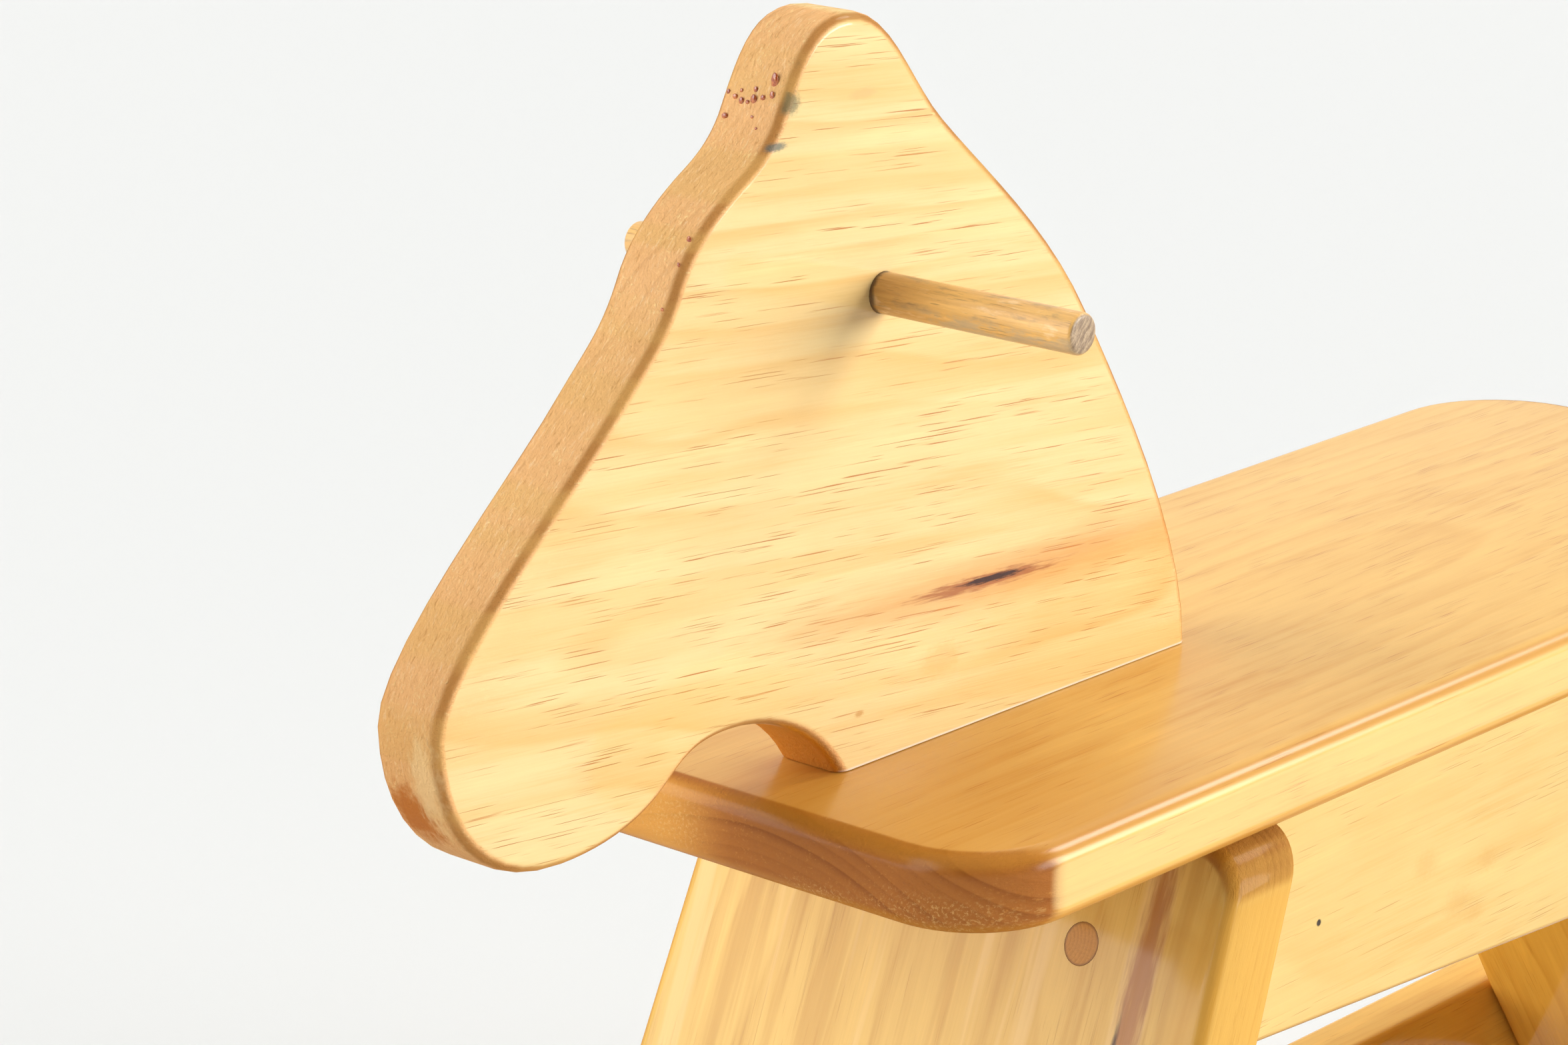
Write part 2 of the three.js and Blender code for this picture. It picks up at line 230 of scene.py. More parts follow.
class Finish:
    """One material. Places and lengths on the piece are in millimetres."""

    def __init__(self, name, **constants):
        self.material = bpy.data.materials.new(name)
        self.material.use_nodes = True
        self.tree = self.material.node_tree
        self.surface = self.tree.nodes["Principled BSDF"]
        for socket, value in constants.items():
            self.surface.inputs[socket.replace("_", " ")].default_value = value
        place = self.node("TexCoord", output="Object")
        parts = self.node("SeparateXYZ", sockets={0: place}).socket.node
        mm_per_m = 1000
        self.x, self.y, self.z = (Wire(self, out) * mm_per_m for out in parts.outputs)
        self.normal = self.node("NewGeometry", output="Normal")

    def node(self, kind, settings=None, sockets=None, output=0):
        """Adds a node: its settings are set first, then its sockets' values or links."""
        made = self.tree.nodes.new("ShaderNode" + kind)
        for key, value in (settings or {}).items():
            setattr(made, key, value)
        for key, value in (sockets or {}).items():
            self.feed(made.inputs[key], value)
        return Wire(self, made.outputs[output])

    def feed(self, socket, value):
        """Links a wire to a socket, or sets the socket to a number or a colour."""
        if isinstance(value, Wire):
            self.tree.links.new(value.socket, socket)
        elif isinstance(value, tuple) and socket.type == "RGBA":
            socket.default_value = (*value, 1)
        else:
            socket.default_value = value

    def vector(self, x, y, z):
        return self.node("CombineXYZ", sockets={0: x, 1: y, 2: z})

    def noise(self, vector, scale=1.0, detail=2.0, roughness=0.5):
        return self.node("TexNoise", sockets={
            "Vector": vector, "Scale": scale, "Detail": detail, "Roughness": roughness})

    def mix(self, amount, first, second):
        """The first colour where the amount is 0 and the second where it is 1."""
        settings = {"data_type": "RGBA", "clamp_factor": True}
        return self.node("Mix", settings, {0: amount, 6: first, 7: second}, output=2)

    def facing(self, direction):
        """The cosine between the surface and a direction."""
        return self.node("VectorMath", {"operation": "DOT_PRODUCT"}, {0: self.normal, 1: direction}, "Value")

    def spot(self, a, b, at, size, soft=0.35, ragged=0.0):
        """An oval mark round a place on the plane of a and b: 1 inside, 0 outside."""
        u = (a - at[0]) / size[0]
        v = (b - at[1]) / size[1]
        reach = (u * u + v * v).math("SQRT")
        if ragged:
            edge = self.noise(self.vector(a / size[0], b / size[1], 0.0), 2.5, 3.0, 0.6)
            reach = reach + (edge - 0.5) * ragged
        return reach.rise(1.0 + soft, 1.0 - soft)

    def show(self, colour, height, relief, roughness=None):
        """Puts the colour, the bumps and, if given, the roughness on the surface."""
        self.feed(self.surface.inputs["Base Color"], colour)
        if roughness is not None:
            self.feed(self.surface.inputs["Roughness"], roughness)
        bump = self.node("Bump", sockets={"Height": height, "Strength": 1.0, "Distance": relief})
        self.feed(self.surface.inputs["Normal"], bump)


VARNISH = {"Roughness": 0.5, "Specular_IOR_Level": 0.0, "Coat_Roughness": 0.10, "Coat_IOR": 1.5}


def pine(finish, along, across, depth, grain, flat, pith, ring, seed,
         pale, late, end, rim, banding=0.5, flecks=1.0, wave=14, rings=0.8, worn=0.0, gloss=1.0):
    """Varnished pine cut from a log: growth rings round the pith, long thin resin lines,
    fine fibres, darker matt end grain and a darker line of varnish on the rounded arrises.
    Pith is the log's centre across and through the board, and ring is one year's growth."""
    # A ring darkens through its year and ends sharply, and some years are stronger than others.
    slow = finish.vector(along / 380 + seed, across / 105, depth / 200)
    wobble = (finish.noise(slow, 1.0, 2.0, 0.5) - 0.5) * wave * 2
    away = ((across - pith[0]) ** 2 + (depth - pith[1]) ** 2).math("SQRT")
    turns = (away + wobble + along * 0.012) / ring
    phase = turns.math("FRACT")
    which = finish.vector(turns.math("FLOOR") * 0.37 + seed, along / 400, 0.0)
    vigour = finish.noise(which, 3.0, 0.0).rise(0.30, 0.65)
    wood = phase ** 1.8 * phase.rise(1.0, 0.86) * (vigour * 0.8 + 0.2)
    # Fibre, silk and cloud vary the tone, each coarser than the last; dashes are resin lines.
    fibre = finish.noise(finish.vector(along / 40 + seed, across * 1.3, depth * 1.3), 1.0, 3.0, 0.62)
    silk = finish.noise(finish.vector(along / 85 + seed, across / 6, depth / 6), 1.0, 3.0, 0.6)
    cloud = finish.noise(finish.vector(along / 80 + seed, across / 30, depth / 30), 1.0, 3.0, 0.55)
    dash = finish.noise(finish.vector(along / 26 + seed, across * 2.4, depth * 2.4), 1.0, 0.5)
    crowd = finish.noise(finish.vector(along / 50 - seed, across / 9, depth / 9), 1.0, 1.0)
    dash = dash.rise(0.66, 0.75) * crowd.rise(0.38, 0.60)
    body = finish.mix(wood * banding, pale, late)
    tone = (fibre - 0.5) * 0.45 + (silk - 0.5) * 0.8 + (cloud - 0.5) * 0.7
    body = finish.mix(tone.rise(-0.02, 0.34) * 0.6, body, late)
    body = finish.mix(tone.rise(0.02, -0.36) * 0.6, body, tuple(min(1.0, c * 1.16) for c in pale))
    resin = tuple(c * k for c, k in zip(late, (0.66, 0.34, 0.18)))
    body = finish.mix(dash * 0.9 * flecks, body, resin)
    # End grain shows wherever the surface turns across the grain.
    butt = finish.facing(grain).math("ABSOLUTE")
    sawn_end = butt.rise(0.03, 0.22)
    pores = finish.noise(finish.vector(along / 5 + seed, across * 0.7, depth * 0.9), 1.0, 4.0, 0.75)
    patch = finish.noise(finish.vector(along / 60 + seed, across / 14, depth / 10), 1.0, 3.0, 0.6)
    dark_end = tuple(c * k for c, k in zip(end, (0.60, 0.48, 0.42)))
    pale_end = tuple(min(1.0, c * k) for c, k in zip(end, (1.32, 1.55, 1.7)))
    end_wood = finish.mix(wood * rings + (pores - 0.5) * 0.7, end, dark_end)
    end_wood = finish.mix(pores.rise(0.52, 0.68) * patch.rise(0.40, 0.60) * 0.8, end_wood, pale_end)
    body = finish.mix(sawn_end, body, end_wood)
    # The arrises are where the surface turns away from the board's flat faces.
    edge = finish.facing(flat).math("ABSOLUTE") ** 2
    arris = (edge * (1 - edge) * 4).rise(0.12, 0.95)
    body = finish.mix(arris * (0.6 + worn * 0.3), body, rim)
    rubbed = edge.rise(0.998, 0.93) * worn
    finish.feed(finish.surface.inputs["Coat Weight"], (1.0 - sawn_end * 0.55) * (1.0 - rubbed) * gloss)
    height = fibre * 0.3 + (pores - 0.5) * sawn_end * 2.0 - dash * 0.2 + cloud * 1.2
    return body, height


head_tilt = math.radians(5)
head = Finish("head_pine", **VARNISH)
head_along = head.y * math.cos(head_tilt) - head.z * math.sin(head_tilt)
head_across = head.y * math.sin(head_tilt) + head.z * math.cos(head_tilt)
colour, height = pine(
    head, head_along, head_across, head.x,
    grain=(0, math.cos(head_tilt), -math.sin(head_tilt)), flat=(1, 0, 0), pith=(455, 240), ring=4.6, seed=3.1,
    pale=(0.78, 0.59, 0.275), late=(0.73, 0.44, 0.15), end=(0.85, 0.47, 0.195), rim=(0.40, 0.17, 0.04),
    banding=0.9, rings=0.35, worn=0.85)
tail_down = head.y * 0.05 + head.z
band = head.noise(head.vector(head_along / 420, head_across / 17, 1.0), 1.0, 1.0, 0.5)
colour = head.mix(band.rise(0.46, 0.56) * 0.35, colour, (0.75, 0.45, 0.14))
# A dark knot streak low on the neck: its halo, the streak itself and its heart.
halo = head.spot(head.y, tail_down, (-170, 443), (92, 8), 0.9, 1.0)
colour = head.mix(halo * 0.6, colour, (0.62, 0.23, 0.03))
streak = head.spot(head.y, tail_down, (-184, 443), (33, 2.4), 0.4, 2.2)
colour = head.mix(streak * 0.75, colour, (0.30, 0.06, 0.012))
heart = head.spot(head.y, tail_down, (-180, 443.5), (16, 1.2), 0.35, 2.0)
colour = head.mix(heart, colour, (0.05, 0.010, 0.005))
# Smudges and small stains on the left face.
left_face = head.x.rise(11.5, 13.2)
for at, size, tint, strength in (
        ((-282, 634), (4, 3.4), (0.16, 0.15, 0.08), 0.75), ((-289, 621), (4.5, 1.3), (0.10, 0.13, 0.12), 0.8),
        ((-279, 647), (2.5, 2), (0.22, 0.13, 0.06), 0.7), ((-247, 632), (6, 1.6), (0.80, 0.42, 0.17), 0.6),
        ((-207, 430), (9, 5), (0.70, 0.33, 0.06), 0.25), ((-249, 421), (2, 1), (0.50, 0.22, 0.04), 0.6)):
    stain = head.spot(head.y, head.z, at, size, 0.5, 1.3) * left_face
    colour = head.mix(stain * strength, colour, tint)
# The sawn edge: flakes of end grain, painted shade with warm bounced light in the throat, and an
# older muzzle with a reddish bleed and a bare patch.
strip = head.facing((1, 0, 0)).math("ABSOLUTE").rise(0.9, 0.6)
deep = head.facing((1, 0, 0)).math("ABSOLUTE").rise(0.45, 0.10)
flake = head.noise(head.vector(head.x * 0.9, head.y / 6, head.z / 4), 1.0, 3.0, 0.7)
colour = head.mix(flake.rise(0.55, 0.70) * deep * 0.5, colour, (0.95, 0.68, 0.38))
colour = head.mix(flake.rise(0.44, 0.30) * deep * 0.5, colour, (0.52, 0.24, 0.07))
# Painted shade: the throat under the jaw is darkened to a deep orange, as if lit by light bounced off the
# wood.
throat_shade = head.z.rise(450, 440) * head.y.rise(-292, -280) * strip
colour = head.mix(throat_shade * 0.8, colour, (0.70, 0.26, 0.015))
darker_zone = head.z.rise(530, 440) * head.y.rise(-350, -390) * strip
colour = head.mix(darker_zone * 0.45, colour, (0.50, 0.22, 0.06))
bleed = head.spot(head.x, head.z, (-3, 433), (9, 10), 0.5, 1.8) * head.y.rise(-405, -415)
colour = head.mix(bleed * 0.85, colour, (0.44, 0.12, 0.015))
bare = head.spot(head.x, head.z, (7, 446), (5, 15), 0.5, 1.8) * head.y.rise(-405, -415)
colour = head.mix(bare * 0.6, colour, (0.80, 0.55, 0.26))
# Glue squeezed out along the seat.
squeezed = head.z.rise(403.3, 402.6) * left_face * head.y.rise(-262, -252)
colour = head.mix(squeezed * 0.7, colour, (0.86, 0.78, 0.68))
head.show(colour, height, 0.0005)

piece = sawn_copy("head_and_neck", "head_board")
low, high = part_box("head_board")
low_hole, high_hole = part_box("handle_dowel")
hole = (low_hole + high_hole) / 2
hole_reach = (high_hole.z - low_hole.z) / 2 + 0.0005
side = (high.x - low.x) / 2
round_over = 0.0042
select("FACE", lambda f: (
    f.normal.z < -0.99 and centre(f).z < low.z + 0.001
    or abs(f.normal.x) > 0.99
    or all(abs(v.co.x) < side - 0.001 for v in f.verts)
    or (Vector((centre(f).y, centre(f).z)) - Vector((hole.y, hole.z))).length < hole_reach))
bpy.ops.mesh.delete(type="FACE")
bpy.ops.mesh.select_all(action="SELECT")
bpy.ops.mesh.delete_loose()
for x in (low.x, high.x):
    select("VERT", lambda v: abs(v.co.x - x) < 1e-5)
    bpy.ops.mesh.edge_face_add()
select("VERT", lambda v: v.co.z < low.z + 1e-5)
bpy.ops.mesh.edge_face_add()
bpy.ops.mesh.select_all(action="SELECT")
bpy.ops.mesh.normals_make_consistent(inside=False)
select("EDGE", lambda e: (
    len({round(v.co.x, 5) for v in e.verts}) == 1 and abs(centre(e).x) > side - 1e-4
    and centre(e).z > low.z + 1e-4))
bpy.ops.mesh.bevel(offset=round_over, segments=5, profile=0.5, affect="EDGES", clamp_overlap=False)
bpy.ops.object.mode_set(mode="OBJECT")
cut_bores(piece, [
    "handle_dowel", "head_dowel_front", "head_dowel_rear", "head_screw_1", "head_screw_2", "head_screw_3"])
finish_piece(piece, head, ["head_board"])
head_piece = piece

# Resin beads. Drops of pitch that have bled out of the end grain below the ear and set
# hard, red-brown and glossy; they sit on the varnish where they came out.
pitch = Finish("pitch", Roughness=0.12, Coat_Weight=1.0, Coat_Roughness=0.05)
shade = pitch.noise(pitch.vector(pitch.x, pitch.y, pitch.z), 0.7, 2.0, 0.5)
pitch.show(pitch.mix(shade.rise(0.35, 0.65), (0.30, 0.05, 0.012), (0.52, 0.15, 0.03)), shade, 0.0001)
beads = []
for x, z, width, tall in (
        (7.2, 640, 1.5, 3.2), (8.0, 636, 1.0, 1.6), (4.5, 635, 1.0, 1.0), (1.0, 634, 1.3, 1.8),
        (0.5, 637, 0.9, 1.1), (-1.2, 633, 0.8, 0.8), (-3.8, 633, 1.0, 1.4), (-5.2, 636, 0.7, 0.8),
        (-7.0, 634, 1.1, 1.0), (-8.6, 628, 1.3, 1.1), (-10.5, 635, 0.8, 0.9), (2.6, 629, 0.6, 0.6),
        (6.0, 626, 0.5, 0.6), (10.5, 597, 0.9, 1.3), (11.2, 590, 0.6, 0.9), (10.8, 577, 0.6, 0.7)):
    ahead = Vector((x / 1000, low.y - 0.2, z / 1000))
    place = head_piece.ray_cast(ahead, (0, 1, 0))[1]
    bpy.ops.mesh.primitive_ico_sphere_add(
        subdivisions=3, radius=0.001, location=place, scale=(width, 0.55 * width, tall))
    beads.append(bpy.context.object)
bpy.ops.object.select_all(action="DESELECT")
for bead in beads:
    bead.select_set(True)
bpy.context.view_layer.objects.active = beads[0]
bpy.ops.object.transform_apply(location=True, rotation=True, scale=True)
bpy.ops.object.join()
begin("resin_beads", beads[0])
bpy.ops.mesh.select_all(action="SELECT")
bpy.ops.transform.vertex_random(offset=0.00012, seed=4)
finish_piece(beads[0], pitch, [], smooth=80)


# Handle. A plain round dowel pushed through the head and glued, its varnish worn
# and greyed by hands; the sawn ends are rounded over with a file.
grip = Finish("handle_wood", Roughness=0.45, Specular_IOR_Level=0.4, Coat_Weight=0.45, Coat_Roughness=0.3)
fibre = grip.noise(grip.vector(grip.x / 22, grip.y * 0.9, grip.z * 0.9), 1.0, 4.0, 0.6)
dirt = grip.noise(grip.vector(grip.x / 16, grip.y / 5, grip.z / 5 + 4), 1.0, 4.0, 0.65)
lines = grip.noise(grip.vector(grip.x / 9, grip.y * 1.6, grip.z * 1.6), 1.0, 1.0)
colour = grip.mix((fibre - 0.3) * 1.6, (0.86, 0.50, 0.14), (0.55, 0.27, 0.06))
# Darker by the head, streaked with dirt along the grain and rubbed grey underneath.
by_head = grip.x.math("ABSOLUTE").rise(50, 18)
colour = grip.mix(by_head * 0.5, colour, (0.46, 0.21, 0.055))
colour = grip.mix(dirt.rise(0.50, 0.72) * 0.6, colour, (0.28, 0.18, 0.085))
colour = grip.mix(lines.rise(0.64, 0.74) * 0.45, colour, (0.17, 0.085, 0.03))
colour = grip.mix(dirt.rise(0.44, 0.30) * 0.5, colour, (0.92, 0.66, 0.36))
rubbed = grip.facing((0, -0.35, -0.94)).rise(0.1, 0.7) * dirt.rise(0.40, 0.56) * (1 - by_head)
colour = grip.mix(rubbed * 0.6, colour, (0.47, 0.38, 0.26))
# Torn end grain, and grime where the handle enters the head.
sawn = grip.facing((1, 0, 0)).math("ABSOLUTE").rise(0.55, 0.95)
torn = grip.noise(grip.vector(0.0, (grip.y - grip.z) * 0.5, (grip.y + grip.z) * 0.15), 1.0, 3.0, 0.65)
colour = grip.mix(sawn, colour, grip.mix(torn.rise(0.36, 0.64), (0.46, 0.32, 0.185), (0.22, 0.135, 0.07)))
grime = (grip.x.math("ABSOLUTE") + (dirt - 0.5) * 4).rise(16.4, 14.4)
colour = grip.mix(grime * 0.85, colour, (0.10, 0.042, 0.013))
grip.show(colour, fibre + lines * 0.5, 0.0003)

low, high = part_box("handle_dowel")
middle = (low + high) / 2
radius, length = (high.z - low.z) / 2, high.x - low.x
filed = 0.0016
bpy.ops.mesh.primitive_cylinder_add(
    vertices=64, radius=radius, depth=length, location=middle, rotation=(0, math.pi / 2, 0))
piece = bpy.context.object
bpy.ops.object.transform_apply(location=True, rotation=True, scale=True)
begin("handle", piece)
select("FACE", lambda f: abs(f.normal.x) > 0.9)
bpy.ops.mesh.bevel(offset=filed, segments=4, profile=0.5, affect="EDGES")
select("FACE", lambda f: abs(f.normal.x) > 0.9 and len(f.verts) > 4)
bpy.ops.mesh.inset(thickness=0.002)
bpy.ops.mesh.inset(thickness=0.0015)
finish_piece(piece, grip, ["handle_dowel"])


# Seat board. One wide pine board with its corners rounded in plan, the rear ones to a larger
# radius, and every rim rounded over; the thick varnish on it has gone amber.
seat = Finish("seat_pine", **{**VARNISH, "Coat_Roughness": 0.23})
colour, height = pine(
    seat, seat.y, seat.x, seat.z, grain=(0, 1, 0), flat=(0, 0, 1), pith=(10, 250), ring=4.4, seed=7.7,
    pale=(0.80, 0.47, 0.12), late=(0.64, 0.29, 0.04), end=(0.41, 0.14, 0.025), rim=(0.50, 0.20, 0.03),
    banding=0.45, flecks=0.8, wave=6, rings=1.0, gloss=0.75)
# Painted shade darkens the top to a deep amber towards the front, by the head, most on the horse's left; the
# front edge is paler towards the right.
front_shade_colour = seat.mix(0.6, colour, (0.50, 0.20, 0.02))
darker_zone = seat.y.rise(-120, -250) * seat.facing((0, 0, 1)).rise(0.4, 0.9) * (seat.x.rise(-30, 10) * 0.75 + 0.25)
colour = seat.mix(darker_zone, colour, front_shade_colour)
fresh = seat.x.rise(5, -35) * seat.facing((0, 1, 0)).math("ABSOLUTE").rise(0.4, 0.9)
colour = seat.mix(fresh * 0.65, colour, (0.84, 0.41, 0.085))
# Pale pits where varnish has gone from the front edge, and paler wood on the long sides.
pits = seat.noise(seat.vector(seat.x * 0.8, 0.0, seat.z * 0.8), 1.0, 3.0, 0.75)
bare = (seat.spot(seat.x, seat.z, (-26, 388), (12, 9), 0.7, 1.8)
        + seat.spot(seat.x, seat.z, (88, 381), (24, 6), 0.7, 1.8)
        + seat.spot(seat.x, seat.z, (40, 378), (14, 3), 0.7, 1.8)) * seat.y.rise(-240, -250)
colour = seat.mix(pits.rise(0.50, 0.64) * bare * 0.55, colour, (0.74, 0.44, 0.14))
clean = seat.facing((1, 0, 0)).math("ABSOLUTE").rise(0.975, 0.995)
colour = seat.mix(clean * 0.36, colour, (0.88, 0.66, 0.34))
seat.show(colour, height, 0.0004)

low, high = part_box("seat_board")
middle, extent = (low + high) / 2, high - low
bpy.ops.mesh.primitive_cube_add(size=1, location=middle, scale=extent)
piece = bpy.context.object
bpy.ops.object.transform_apply(location=True, rotation=True, scale=True)
begin("seat", piece)
front_corner, rear_corner, rim_round = 0.040, 0.052, 0.0075
for y, radius in ((low.y, front_corner), (high.y, rear_corner)):
    select("EDGE", lambda e: abs(e.verts[0].co.z - e.verts[1].co.z) > 0.01 and abs(centre(e).y - y) < 1e-4)
    bpy.ops.mesh.bevel(offset=radius, segments=14, profile=0.5, affect="EDGES")
select("FACE", lambda f: abs(f.normal.z) > 0.99)
bpy.ops.mesh.bevel(offset=rim_round, segments=6, profile=0.5, affect="EDGES", clamp_overlap=False)
bpy.ops.object.mode_set(mode="OBJECT")
cut_bores(piece, [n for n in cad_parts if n.startswith(("head_dowel", "head_screw", "seat_dowel"))])
finish_piece(piece, seat, ["seat_board"])


# Leg panels. Two wide upright-grained boards, planed to 35 mm, leaning fore and aft.
# Their tops and feet are cut level and their edges flare to the rockers.
def leg_finish(name, lean, **wood):
    """Pine with its grain up a panel that leans back. Returns the finish, the way up it and its looks."""
    made = Finish(name, **VARNISH)
    up = made.y * math.sin(lean) + made.z * math.cos(lean)
    through = made.y * math.cos(lean) - made.z * math.sin(lean)
    colour, height = pine(
        made, up, made.x, through, grain=(0, math.sin(lean), math.cos(lean)),
        flat=(0, math.cos(lean), -math.sin(lean)), **wood)
    return made, up, colour, height


def leg_panel(name, node, finish, pins):
    """Models a panel: a foot outline is raised to the knee and to the top, then rounded."""
    low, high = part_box(node)
    leaning = [v.co.copy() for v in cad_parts[node].data.vertices]
    top_front = min(c.y for c in leaning if c.z > high.z - 1e-4)
    top_back = max(c.y for c in leaning if c.z > high.z - 1e-4)
    foot_front = min(c.y for c in leaning if c.z < low.z + 1e-4)
    through = top_back - top_front
    foot_width, top_width, knee = high.x - low.x, 0.231, 0.100
    top_corner, foot_corner, round_over = 0.018, 0.006, 0.0052
    slope = (top_front - foot_front) / (high.z - low.z)
    sliver = 0.001
    foot = (0, foot_front + through / 2, low.z + sliver / 2)
    bpy.ops.mesh.primitive_cube_add(size=1, location=foot, scale=(foot_width, through, sliver))
    piece = bpy.context.object
    bpy.ops.object.transform_apply(location=True, rotation=True, scale=True)
    begin(name, piece)
    select("FACE", lambda f: f.normal.z > 0.99)
    bpy.ops.transform.translate(value=(0, slope * (knee - low.z), knee - low.z - sliver))
    bpy.ops.mesh.extrude_region_move(
        TRANSFORM_OT_translate={"value": (0, slope * (high.z - knee), high.z - knee)})
    bpy.ops.transform.resize(value=(top_width / foot_width, 1, 1))
    for z, radius in ((high.z, top_corner), (low.z, foot_corner)):
        select("EDGE", lambda e: abs(centre(e).z - z) < 1e-4 and abs(centre(e).x) > 0.1)
        bpy.ops.mesh.bevel(offset=radius, segments=10, profile=0.5, affect="EDGES")
    flat = Vector((0, 1, -slope)).normalized()
    select("FACE", lambda f: abs(f.normal.dot(flat)) > 0.99)
    bpy.ops.mesh.region_to_loop()
    bpy.ops.mesh.bevel(offset=round_over, segments=5, profile=0.5, affect="EDGES", clamp_overlap=False)
    bpy.ops.object.mode_set(mode="OBJECT")
    cut_bores(piece, pins)
    finish_piece(piece, finish, [node])


front_wood, up, colour, height = leg_finish(
    "front_leg_pine", math.radians(22.7), pith=(25, 230), ring=3.4, seed=1.9,
    pale=(0.72, 0.46, 0.13), late=(0.54, 0.28, 0.06), end=(0.46, 0.21, 0.05), rim=(0.50, 0.22, 0.025),
    banding=0.6, flecks=0.3, worn=0.55, gloss=0.45)
# Pale and dark stripes up the panel, a darker left edge, a reddish stain and a line of pitch.
stripe = front_wood.noise(front_wood.vector(up / 300, front_wood.x / 13, 3.0), 1.0, 3.0, 0.55)
colour = front_wood.mix(stripe.rise(0.46, 0.36) * 0.55, colour, (0.80, 0.55, 0.23))
colour = front_wood.mix(stripe.rise(0.52, 0.64) * 0.5, colour, (0.52, 0.27, 0.06))
outer_edge = front_wood.x.rise(96, 110) * front_wood.z.rise(362, 352)
colour = front_wood.mix(outer_edge * 0.6, colour, (0.66, 0.35, 0.065))
stain = front_wood.spot(front_wood.x, up, (88, 225), (5, 60), 0.6, 2.0)
colour = front_wood.mix(stain * 0.75, colour, (0.34, 0.11, 0.04))
pitch_line = front_wood.spot(front_wood.x, up, (84, 196), (1.0, 16), 0.6, 1.0)
colour = front_wood.mix(pitch_line * 0.9, colour, (0.05, 0.015, 0.015))
front_wood.show(colour, height, 0.0004)
leg_panel("front_leg", "front_leg_panel", front_wood,
          [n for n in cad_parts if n.startswith(("rail_pin_front", "rocker_pin_front"))])

rear_wood, _, colour, height = leg_finish(
    "rear_leg_pine", math.radians(-34), pith=(-40, 200), ring=3.8, seed=5.3,
    pale=(0.76, 0.39, 0.055), late=(0.60, 0.26, 0.025), end=(0.50, 0.22, 0.04), rim=(0.52, 0.20, 0.02),
    banding=0.7, flecks=0.3, gloss=0.35)
rear_wood.show(colour, height, 0.0004)
leg_panel("rear_leg", "rear_leg_panel", rear_wood,
          [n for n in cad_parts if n.startswith(("rail_pin_rear", "rocker_pin_rear"))])

# Side rails. Two boards on edge between the leg panels, tight under the seat and a little
# deeper at the back; their ends are sawn to the panels' slopes.
for side_name, seed in (("left", 2.4), ("right", 8.8)):
    rail = Finish(f"rail_pine_{side_name}", **VARNISH)
    colour, height = pine(
        rail, rail.y, rail.z, rail.x, grain=(0, 1, 0), flat=(1, 0, 0), pith=(320, 230), ring=5.0, seed=seed,
        pale=(0.77, 0.54, 0.19), late=(0.71, 0.42, 0.11), end=(0.55, 0.27, 0.07), rim=(0.52, 0.24, 0.05),
        banding=0.45, flecks=0.6)
    if side_name == "left":
        # A nail hole, and faint orange blotches behind it.
        nail = rail.spot(rail.y, rail.z, (-67, 308), (1.3, 1.3), 0.25)
        colour = rail.mix(nail, colour, (0.03, 0.016, 0.006))
        for at, size in (((22, 290), 7), ((41, 302), 5), ((0, 311), 6), ((33, 283), 5)):
            blotch = rail.spot(rail.y, rail.z, at, (size, size * 0.7), 0.9, 1.8)
            colour = rail.mix(blotch * 0.35, colour, (0.66, 0.34, 0.08))
    rail.show(colour, height, 0.0004)

    node = f"side_rail_{side_name}"
    arris = 0.003
    corners = [v.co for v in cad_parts[node].data.vertices]
    low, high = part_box(node)
    bpy.ops.mesh.primitive_cube_add(size=1, location=(low + high) / 2, scale=high - low)
    piece = bpy.context.object
    bpy.ops.object.transform_apply(location=True, rotation=True, scale=True)
    begin(f"rail_{side_name}", piece)
    tops = [c.y for c in corners if c.z > high.z - 1e-4]
    front_foot = min((c for c in corners if c.y < low.y + 1e-4), key=lambda c: c.z)
    for y, z, to_y, to_z in (
            (low.y, high.z, min(tops), high.z), (high.y, high.z, max(tops), high.z),
            (low.y, low.z, front_foot.y, front_foot.z)):
        select("VERT", lambda v: abs(v.co.y - y) < 1e-5 and abs(v.co.z - z) < 1e-5)
        bpy.ops.transform.translate(value=(0, to_y - y, to_z - z))
    select("EDGE", lambda e: abs(e.verts[0].co.y - e.verts[1].co.y) > 0.1 and centre(e).z < 0.3)
    bpy.ops.mesh.bevel(offset=arris, segments=4, profile=0.5, affect="EDGES")
    bpy.ops.object.mode_set(mode="OBJECT")
    cut_bores(piece, [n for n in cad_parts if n.endswith(side_name) and n.startswith("rail_pin")
                      or n.startswith(f"seat_dowel_{side_name}")])
    finish_piece(piece, rail, [node])

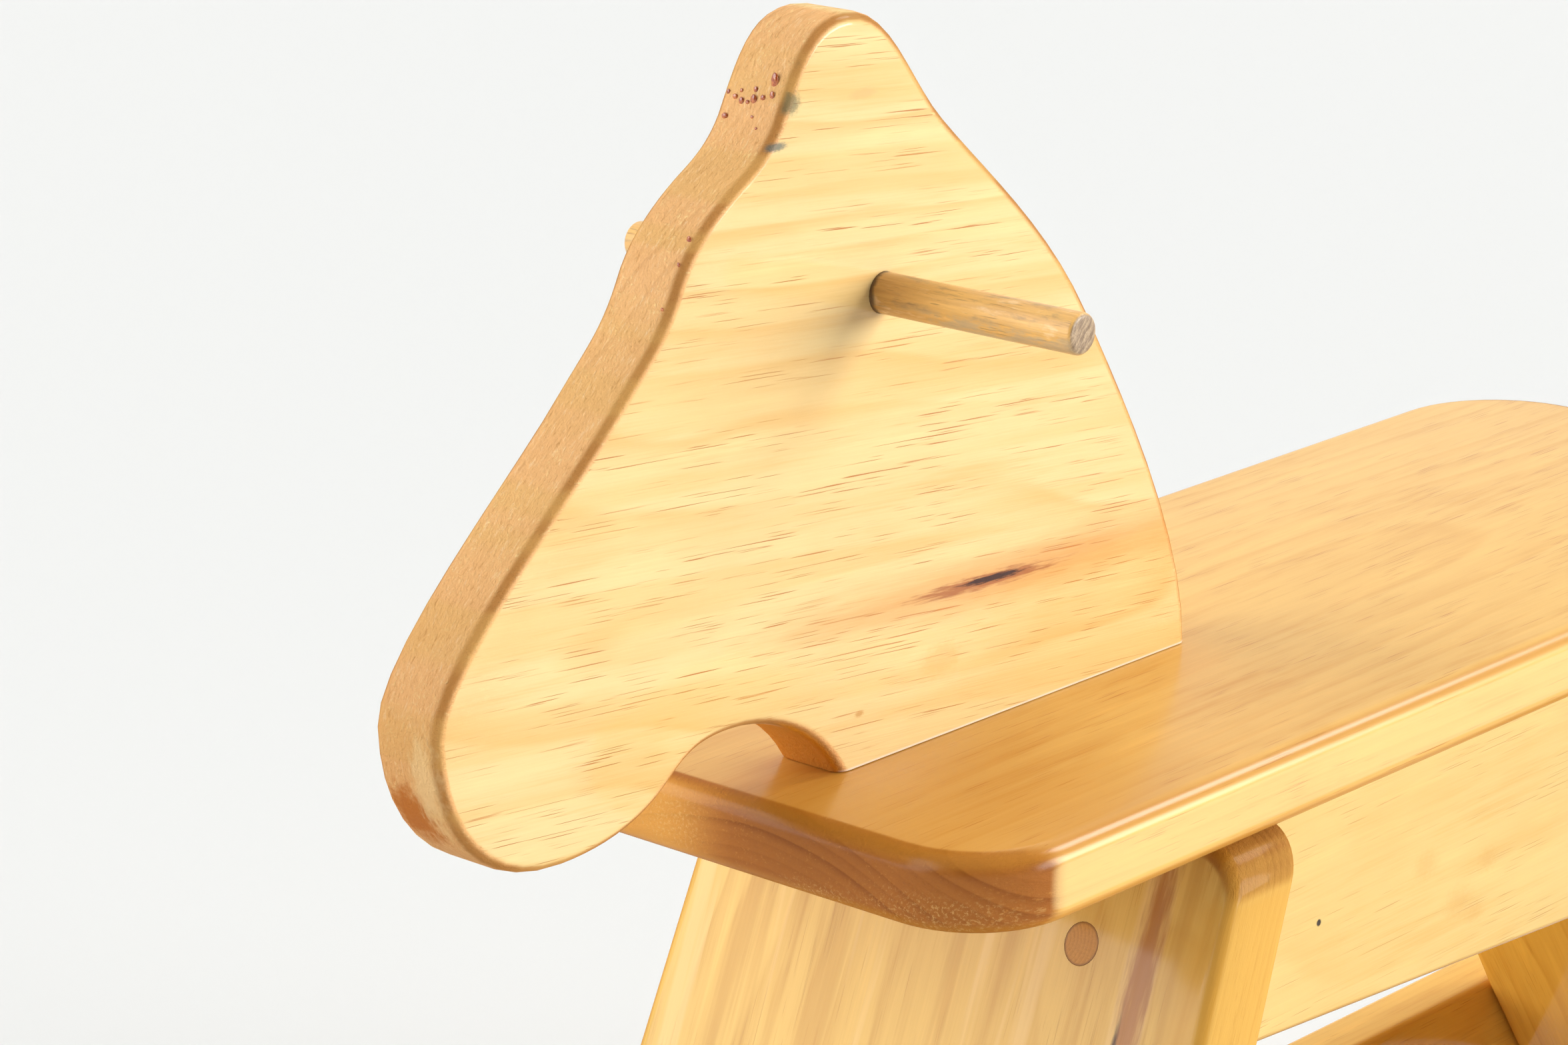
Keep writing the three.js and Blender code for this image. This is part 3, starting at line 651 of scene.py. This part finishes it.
# Rockers. Two long boards on edge outside the feet, straight on top and sawn to a shallow
# curve below, with blunt rounded tips and eased arrises.
for side_name, seed in (("left", 4.2), ("right", 6.6)):
    runner = Finish(f"rocker_pine_{side_name}", **VARNISH)
    colour, height = pine(
        runner, runner.y, runner.z, runner.x, grain=(0, 1, 0), flat=(1, 0, 0), pith=(60, 330), ring=4.6,
        seed=seed, pale=(0.80, 0.46, 0.08), late=(0.68, 0.32, 0.04), end=(0.48, 0.21, 0.04),
        rim=(0.62, 0.29, 0.05), banding=0.6, flecks=0.5, gloss=0.6)
    runner.show(colour, height, 0.0004)

    node = f"rocker_{side_name}"
    low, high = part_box(node)
    middle, extent = (low + high) / 2, high - low
    bpy.ops.mesh.primitive_cube_add(size=1, location=middle, scale=extent)
    piece = bpy.context.object
    bpy.ops.object.transform_apply(location=True, rotation=True, scale=True)
    begin(f"runner_{side_name}", piece)
    steps, radius, tip, arris = 40, 1.6, 0.013, 0.0045
    for i in range(1, steps):
        bpy.ops.mesh.select_all(action="SELECT")
        bpy.ops.mesh.bisect(plane_co=(0, low.y + extent.y * i / steps, 0), plane_no=(0, 1, 0))
    for i in range(steps + 1):
        y = low.y + extent.y * i / steps
        lift = radius - math.sqrt(radius * radius - (y - middle.y) ** 2)
        select("VERT", lambda v: abs(v.co.y - y) < 1e-4 and v.co.z < low.z + 1e-4)
        bpy.ops.transform.translate(value=(0, 0, lift))
    select("EDGE", lambda e: abs(e.verts[0].co.x - e.verts[1].co.x) > 0.01
           and min(abs(centre(e).y - low.y), abs(centre(e).y - high.y)) < 1e-4)
    bpy.ops.mesh.bevel(offset=tip, segments=8, profile=0.5, affect="EDGES", clamp_overlap=False)
    select("FACE", lambda f: abs(f.normal.x) > 0.99)
    bpy.ops.mesh.dissolve_limited(angle_limit=math.radians(0.5))
    select("FACE", lambda f: abs(f.normal.x) > 0.99)
    bpy.ops.mesh.region_to_loop()
    bpy.ops.mesh.bevel(offset=arris, segments=5, profile=0.5, affect="EDGES", clamp_overlap=False)
    bpy.ops.object.mode_set(mode="OBJECT")
    cut_bores(piece, [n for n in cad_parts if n.startswith("rocker_pin") and f"_{side_name}_" in n])
    finish_piece(piece, runner, [node])

# Joint pins. Lengths of the handle's dowel driven through each joint, sawn off flush and
# varnished over; the end grain has soaked up varnish and turned brown.
for node in [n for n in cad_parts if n.startswith(("rail_pin", "rocker_pin"))]:
    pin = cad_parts[node]
    low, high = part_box(node)
    middle = (low + high) / 2 * 1000
    plug = Finish(f"{node}_wood", Coat_Weight=0.3, **VARNISH)
    if node.startswith("rail"):
        along, across, depth, axis = plug.y, plug.x - middle.x, plug.z - middle.z, (0, 1, 0)
    else:
        along, across, depth, axis = plug.x, plug.y - middle.y, plug.z - middle.z, (1, 0, 0)
    rings = ((across + 9) ** 2 + depth ** 2).math("SQRT") / 1.5
    grainy = plug.noise(plug.vector(along / 8, across, depth), 1.2, 3.0, 0.6)
    colour = plug.mix(rings.math("FRACT") * 0.4 + (grainy - 0.4), (0.56, 0.26, 0.045), (0.36, 0.15, 0.025))
    rim = (across ** 2 + depth ** 2).math("SQRT").rise(6.0, 7.0)
    colour = plug.mix(rim * 0.6, colour, (0.14, 0.06, 0.02))
    plug.show(colour, grainy, 0.0002)
    pin.data.materials.clear()
    pin.data.materials.append(plug.material)

# Hidden dowels. Bare beech dowels glued half into each of two boards: those under the head
# stand upright in the seat, and the seat's own stand in the rails.
beech = Finish("dowel_beech", Roughness=0.7)
fleck = beech.noise(beech.vector(beech.x * 1.5, beech.y * 1.5, beech.z / 5), 1.0, 3.0, 0.6)
beech.show(beech.mix(fleck, (0.72, 0.52, 0.30), (0.52, 0.33, 0.17)), fleck, 0.0002)
for node in [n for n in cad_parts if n.startswith(("head_dowel", "seat_dowel"))]:
    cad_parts[node].data.materials.clear()
    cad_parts[node].data.materials.append(beech.material)

# Head screws. Zinc plated countersunk wood screws, driven up from below through the seat
# into the lower edge of the head board.
zinc = Finish("screw_zinc", Metallic=1.0)
grey = zinc.noise(zinc.vector(zinc.x * 0.8, zinc.y * 0.8, zinc.z * 0.8), 1.0, 4.0, 0.6)
zinc.show(zinc.mix(grey, (0.62, 0.61, 0.58), (0.42, 0.41, 0.39)), grey, 0.0001, roughness=grey * 0.3 + 0.25)
for node in [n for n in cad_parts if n.startswith("head_screw")]:
    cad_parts[node].data.materials.clear()
    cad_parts[node].data.materials.append(zinc.material)
